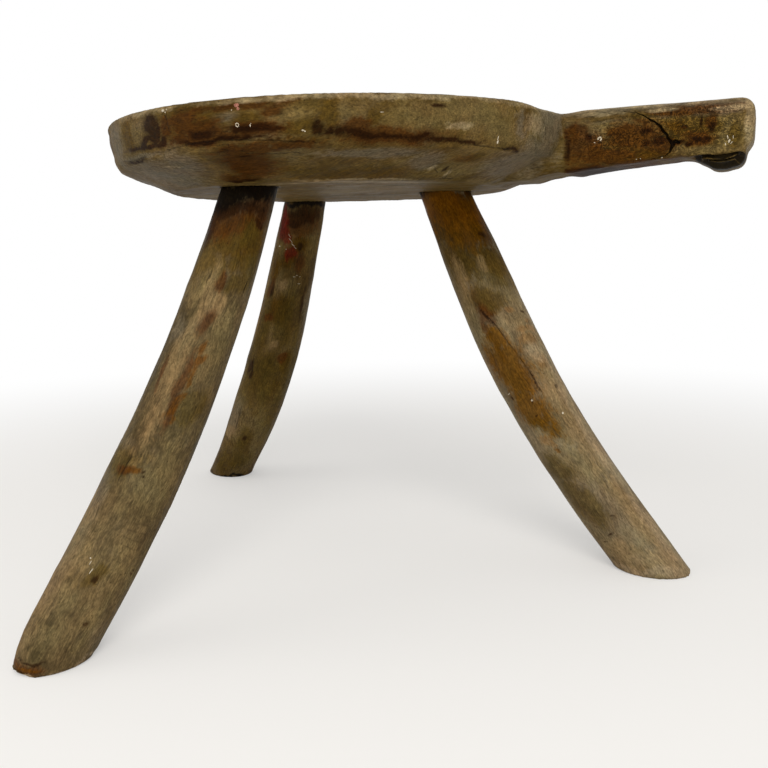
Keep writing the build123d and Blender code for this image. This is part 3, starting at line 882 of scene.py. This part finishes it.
def fleck(body, start, towards, width, length=None, slant=0.0, tint=0):
    """A thin chipped drop of paint where a line from the start meets the body's surface. Its width
    and length are in mm, and its slant is the angle of its length from upright.
    """
    hit, spot, facing, _ = body.ray_cast(start, towards)
    if not hit:
        raise ValueError("a fleck misses " + body.name)
    upright = (Vector((0, 0, 1)) - facing * facing.z).normalized()
    level = facing.cross(upright)
    lengthwise = upright * cos(radians(slant)) + level * sin(radians(slant))
    crosswise = facing.cross(lengthwise)
    half_width, half_length = width * mm / 2, (length or width) * mm / 2
    edge = []
    for i in range(fleck_corners):
        turn = radians(360 / fleck_corners * i)
        chip = dice.uniform(0.72, 1.1)
        edge.append(fleck_mesh.verts.new(spot + chip * (
            crosswise * half_width * cos(turn) + lengthwise * half_length * sin(turn))))
    crown = fleck_mesh.verts.new(spot + facing * fleck_rise)
    bed = fleck_mesh.verts.new(spot - facing * fleck_root)
    for a, b in zip(edge, edge[1:] + edge[:1]):
        fleck_mesh.faces.new((a, b, crown)).material_index = tint
        fleck_mesh.faces.new((b, a, bed)).material_index = tint


def rim_fleck(turn, down, *shape, **options):
    """A fleck on the rim, at an angle round the seat and a depth below its top."""
    outwards = Vector((cos(radians(turn)), sin(radians(turn)), 0))
    start = seat_axis + outwards * (seat_radius + 30 * mm)
    start.z = seat_top - down * mm
    fleck(seat, start, -outwards, *shape, **options)


def grip_fleck(along, down, *shape, **options):
    """A fleck on the grip's near side, at a place along it and a depth below its top."""
    start = Vector((seat_axis.x + along * mm, seat_low.y - 50 * mm, seat_top - down * mm))
    fleck(seat, start, Vector((0, 1, 0)), *shape, **options)


def leg_fleck(leg, turn, height, *shape, **options):
    """A fleck on a leg, at an angle round it from its outer side and a height above the floor."""
    middle = centre_line(points_of(leg))
    away = Matrix.Rotation(radians(turn), 3, "Z") @ Vector((*outer_side(middle), 0))
    centre = Vector((*(np.polyval(line, height * mm) for line in middle), height * mm))
    fleck(leg, centre + away * 60 * mm, -away, *shape, **options)


for turn, down, width, length, tint in (
    (-103.5, 2.9, 2.6, 1.6, 0), (-102.4, 2.6, 1.2, 1.2, 0), (-102.9, 4, 1, 1, 0),
    (-86.4, 6.9, 0.8, 0.8, 0), (-85.3, 4.7, 3.8, 2.3, 1), (-85, 6.5, 2.2, 2.2, 1),
    (-82.8, 15.8, 0.9, 1.5, 0), (-82.6, 14.8, 0.6, 0.6, 0), (-72.4, 19.6, 1.4, 1, 0),
    (-72, 20.1, 1, 1, 0), (-31.3, 24.4, 1.7, 2.8, 0), (-31.5, 22.4, 0.7, 2.8, 0),
    (-57.3, 10.8, 2.6, 0.35, 0),
):
    rim_fleck(turn, down, width, length, tint=tint)
for turn in range(0, 360, 45):
    rim_fleck(-85.5 + 0.33 * cos(radians(turn)), 15.1 + 0.95 * sin(radians(turn)), 0.75)
for turn in range(-60, 200, 40):
    grip_fleck(190.6 + 1.0 * cos(radians(turn)), 19.6 - 1.0 * sin(radians(turn)), 1.1)
for along, down, width, length, slant in (
    (187.4, 21.6, 0.9, 0.6, 0), (213.3, 33.3, 0.8, 0.6, 0), (215.7, 33.1, 0.7, 0.6, 0),
    (266.3, 23.4, 0.6, 3.2, 12), (267.3, 25.8, 1.1, 2.6, -20), (265.2, 27.4, 0.5, 2.2, 20),
    (268.6, 26.8, 0.5, 2, -40), (269.4, 23.6, 0.4, 2.6, 0), (228.5, 33, 1.2, 0.8, 0),
):
    grip_fleck(along, down, width, length, slant=slant)
for name, drops in (
    ("leg_left", [
        (119, 247.2, 0.5, 5, 30), (125, 243, 0.6, 5.4, 35), (133, 239.2, 0.7, 5, 45),
        (139, 236.8, 0.5, 3.4, 60), (91, 238.4, 1.8, 1.5, 0), (151, 210.6, 2.6, 0.6, 0),
        (158, 211.8, 2.8, 0.5, 0), (165, 210.6, 2.2, 0.5, 0), (166, 204.2, 3.4, 0.5, 0),
        (116, 235.6, 1.2, 0.8, 0),
    ]),
    ("leg_front", [(-38, 114, 1.5, 2, 0), (-123, 126, 0.6, 4.2, -50), (-80, 123, 1.4, 1.6, 0)]),
    ("leg_right", [(38, 58, 0.5, 3.6, -28), (45, 53.6, 0.5, 4.6, -36), (35, 60.4, 1, 0.8, 0)]),
):
    for turn, height, width, length, slant in drops:
        leg_fleck(leg_skins[name], turn, height, width, length, slant=slant)

flecks_data = bpy.data.meshes.new("paint_flecks")
fleck_mesh.to_mesh(flecks_data)
fleck_mesh.free()
flecks = placed("paint_flecks", flecks_data)
for name, light_tone, dark_tone in (
    ("chalky_limewash", "#CFC6B2", "#A0937C"), ("pink_distemper", "#A8705E", "#7E4A3C"),
):
    paint_coat = bpy.data.materials.new(name)
    paint_coat.use_nodes = True
    tree = paint_coat.node_tree
    place = add(tree, "TexCoord").outputs["Object"]
    chalk = add(tree, "TexNoise", {"Vector": place, "Scale": 1 / (0.8 * mm), "Detail": 2.0})
    chalk = add(tree, "MapRange", {"Value": chalk, "From Min": 0.35, "From Max": 0.65})
    tint = add(tree, "Mix", {"Factor": chalk, "A": colour(light_tone), "B": colour(dark_tone)},
               data_type="RGBA")
    relief = add(tree, "Bump", {"Height": chalk, "Distance": 0.1 * mm})
    shader = tree.nodes["Principled BSDF"]
    tree.links.new(tint.outputs[2], shader.inputs["Base Color"])
    tree.links.new(relief.outputs[0], shader.inputs["Normal"])
    shader.inputs["Roughness"].default_value = 0.9
    flecks_data.materials.append(paint_coat)
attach(flecks, "root")

# ----------------------------------------------------------
# Floor, light and camera: a pale floor that runs into a white background, a large soft lamp above
# and behind the camera, a weaker one at its left, and a camera a little below the seat's height.

floor_mesh = bpy.data.meshes.new("floor")
floor_half = 6.0
corners = [(x * floor_half, y * floor_half, 0) for x, y in ((-1, -1), (1, -1), (1, 1), (-1, 1))]
floor_mesh.from_pydata(corners, [], [(0, 1, 2, 3)])


def seen_outright(tree):
    """1 for rays from the camera, off gloss or through glass, which see the background as white."""
    ray = add(tree, "LightPath")
    seen = ray.outputs["Is Camera Ray"]
    for kind in ("Is Glossy Ray", "Is Transmission Ray"):
        seen = add(tree, "Math", {0: seen, 1: ray.outputs[kind]}, operation="MAXIMUM")
    return seen


floor = placed("floor", floor_mesh)
floor_paint = bpy.data.materials.new("pale_floor")
floor_paint.use_nodes = True
tree = floor_paint.node_tree
matt = tree.nodes["Principled BSDF"]
matt.inputs["Base Color"].default_value = colour("#E9E8E6")
matt.inputs["Roughness"].default_value = 0.9
matt.inputs["Specular IOR Level"].default_value = 0.2
position = add(tree, "TexCoord").outputs["Object"]
away = add(tree, "VectorMath", {0: position}, operation="LENGTH").outputs["Value"]
fade = add(tree, "MapRange", {"Value": away, "From Min": 0.35, "From Max": 1.2, "To Min": 0.35},
           interpolation_type="SMOOTHSTEP")
white_share = add(tree, "Math", {0: seen_outright(tree), 1: fade}, operation="MULTIPLY")
glow = add(tree, "Emission", {"Color": (1, 1, 1, 1), "Strength": 1.0})
blend = add(tree, "MixShader", {"Fac": white_share, 1: matt, 2: glow})

# From below, the floor is clear
from_below = add(tree, "NewGeometry").outputs["Backfacing"]
clear = add(tree, "BsdfTransparent")
blend = add(tree, "MixShader", {"Fac": from_below, 1: blend, 2: clear})
tree.links.new(blend.outputs[0], tree.nodes["Material Output"].inputs["Surface"])
floor_mesh.materials.append(floor_paint)

world = bpy.data.worlds.new("soft_white")
bpy.context.scene.world = world
world.use_nodes = True
tree = world.node_tree
behind = add(tree, "Mix", {"Factor": seen_outright(tree), "A": (0.60, 0.585, 0.56, 1), "B": (1, 1, 1, 1)},
             data_type="RGBA")
tree.links.new(behind.outputs[2], tree.nodes["Background"].inputs["Color"])


def lamp(name, place, size, power):
    """A square soft lamp that faces the middle of the stool."""
    data = bpy.data.lights.new(name, "AREA")
    data.size = size
    data.energy = power
    data.color = (1.0, 0.97, 0.92)
    body = placed(name, data)
    body.location = place
    body.rotation_euler = (Vector((0, 0, 0.16)) - Vector(place)).to_track_quat("-Z", "Y").to_euler()


lamp("key", (0.8, -1.35, 1.2), 1.1, 24)
lamp("fill", (-1.4, -0.9, 0.9), 1.2, 6)

camera_data = bpy.data.cameras.new("camera")
camera_data.sensor_width = 36
camera_data.lens = 39.84
camera = placed("camera", camera_data)
look_azimuth, look_down, roll = radians(113.888), radians(9.221), -0.0188
ahead = Vector((cos(look_azimuth) * cos(look_down), sin(look_azimuth) * cos(look_down), -sin(look_down)))
level = Vector((sin(look_azimuth), -cos(look_azimuth), 0))
upright = level.cross(ahead)
right = level * cos(roll) + upright * sin(roll)
top = upright * cos(roll) - level * sin(roll)
stand = seat_axis + Vector((288.45, -591.41, 236.8)) * mm
camera.matrix_world = Matrix.Translation(stand) @ Matrix((right, top, -ahead)).transposed().to_4x4()
bpy.context.scene.camera = camera
bpy.context.scene.view_settings.view_transform = "Standard"
